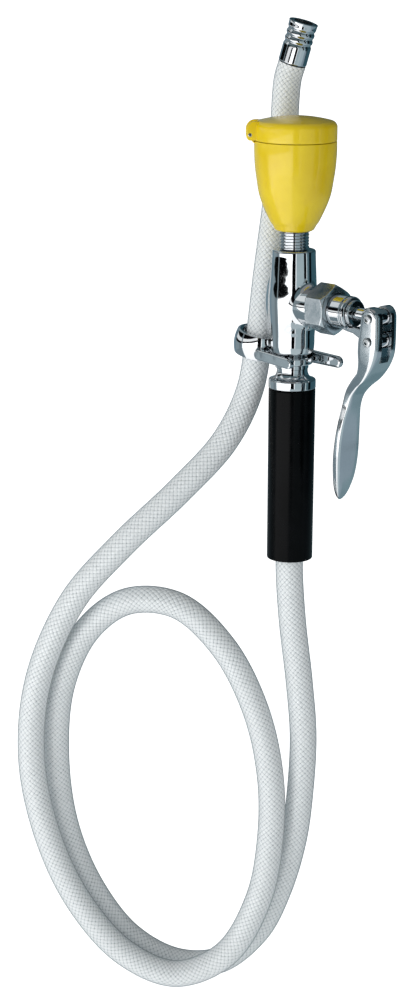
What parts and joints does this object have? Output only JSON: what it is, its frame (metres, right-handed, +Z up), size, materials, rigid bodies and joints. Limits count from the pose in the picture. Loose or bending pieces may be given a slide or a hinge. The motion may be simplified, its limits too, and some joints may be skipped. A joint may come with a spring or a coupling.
{
  "type": "hand-held eyewash and spray valve unit",
  "caption": "Squeeze-lever spray valve with a covered eyewash cup, black grip, hose ring bracket and a looped braided supply hose with a crimped end fitting.",
  "frame": {"origin": "centre of the open end of the hose ferrule, where the supply joins", "axes": "+Z up along the grip and the outlet, +X from the outlet axis towards the squeeze lever, +Y completes the right-handed frame"},
  "size_m": [0.2274, 0.1873, 0.7136],
  "materials": {
    "chrome": "polished chrome plate",
    "steel": "plain steel",
    "brass": "machined",
    "yellow_plastic": "gloss moulded ABS",
    "black_grip": "satin vinyl sleeve",
    "hose_pvc": "clear vinyl over white braid",
    "seal_rubber": "matt rubber",
    "grey_plastic": "moulded acetal"
  },
  "bodies": {
    "root": {"valve_body": "chrome", "valve_seat": "brass", "bonnet_gasket": "seal_rubber", "bonnet": "chrome", "bonnet_nut": "chrome", "stem_packing": "seal_rubber", "packing_nut": "chrome", "return_spring": "steel", "outlet_nipple": "chrome", "flow_regulator": "grey_plastic", "cup_washer": "seal_rubber", "eyewash_cup": "yellow_plastic", "spray_head": "yellow_plastic", "lid_hinge_pin": "steel", "hose_ring_bracket": "chrome", "grip_collar": "chrome", "grip_tube": "steel", "grip_sleeve": "black_grip", "hose_coupling": "brass", "supply_hose": "hose_pvc", "supply_ferrule": "chrome", "hose_stem": "brass", "inlet_gasket": "seal_rubber"},
    "lever": {"lever": "chrome", "fulcrum_screw": "steel", "stem_screw": "steel"},
    "stem": {"valve_stem": "chrome", "seat_washer": "seal_rubber", "washer_screw": "steel"},
    "lid": {"cup_lid": "yellow_plastic"}
  },
  "joints": [
    {"name": "lever_squeeze", "type": "hinge", "parent": "root", "child": "lever", "pos_m": [0.1034, -0.031, -0.209], "axis": [0, 1, 0], "range_deg": [0, 13], "stiffness_Nm_per_rad": 2, "springref_deg": -11.46},
    {"name": "stem_slide", "type": "slide", "parent": "root", "child": "stem", "axis": [1, 0, 0], "range_m": [0, 0.0037], "deforming": ["return_spring"]},
    {"name": "lid_flip", "type": "hinge", "parent": "root", "child": "lid", "pos_m": [0.00044, -0.05356, -0.0744], "axis": [0.7071, -0.7071, 0], "range_deg": [0, 110]}
  ],
  "couplings": [
    {"joint": "stem_slide", "follows": "lever_squeeze", "m_per_rad": 0.0159}
  ]
}
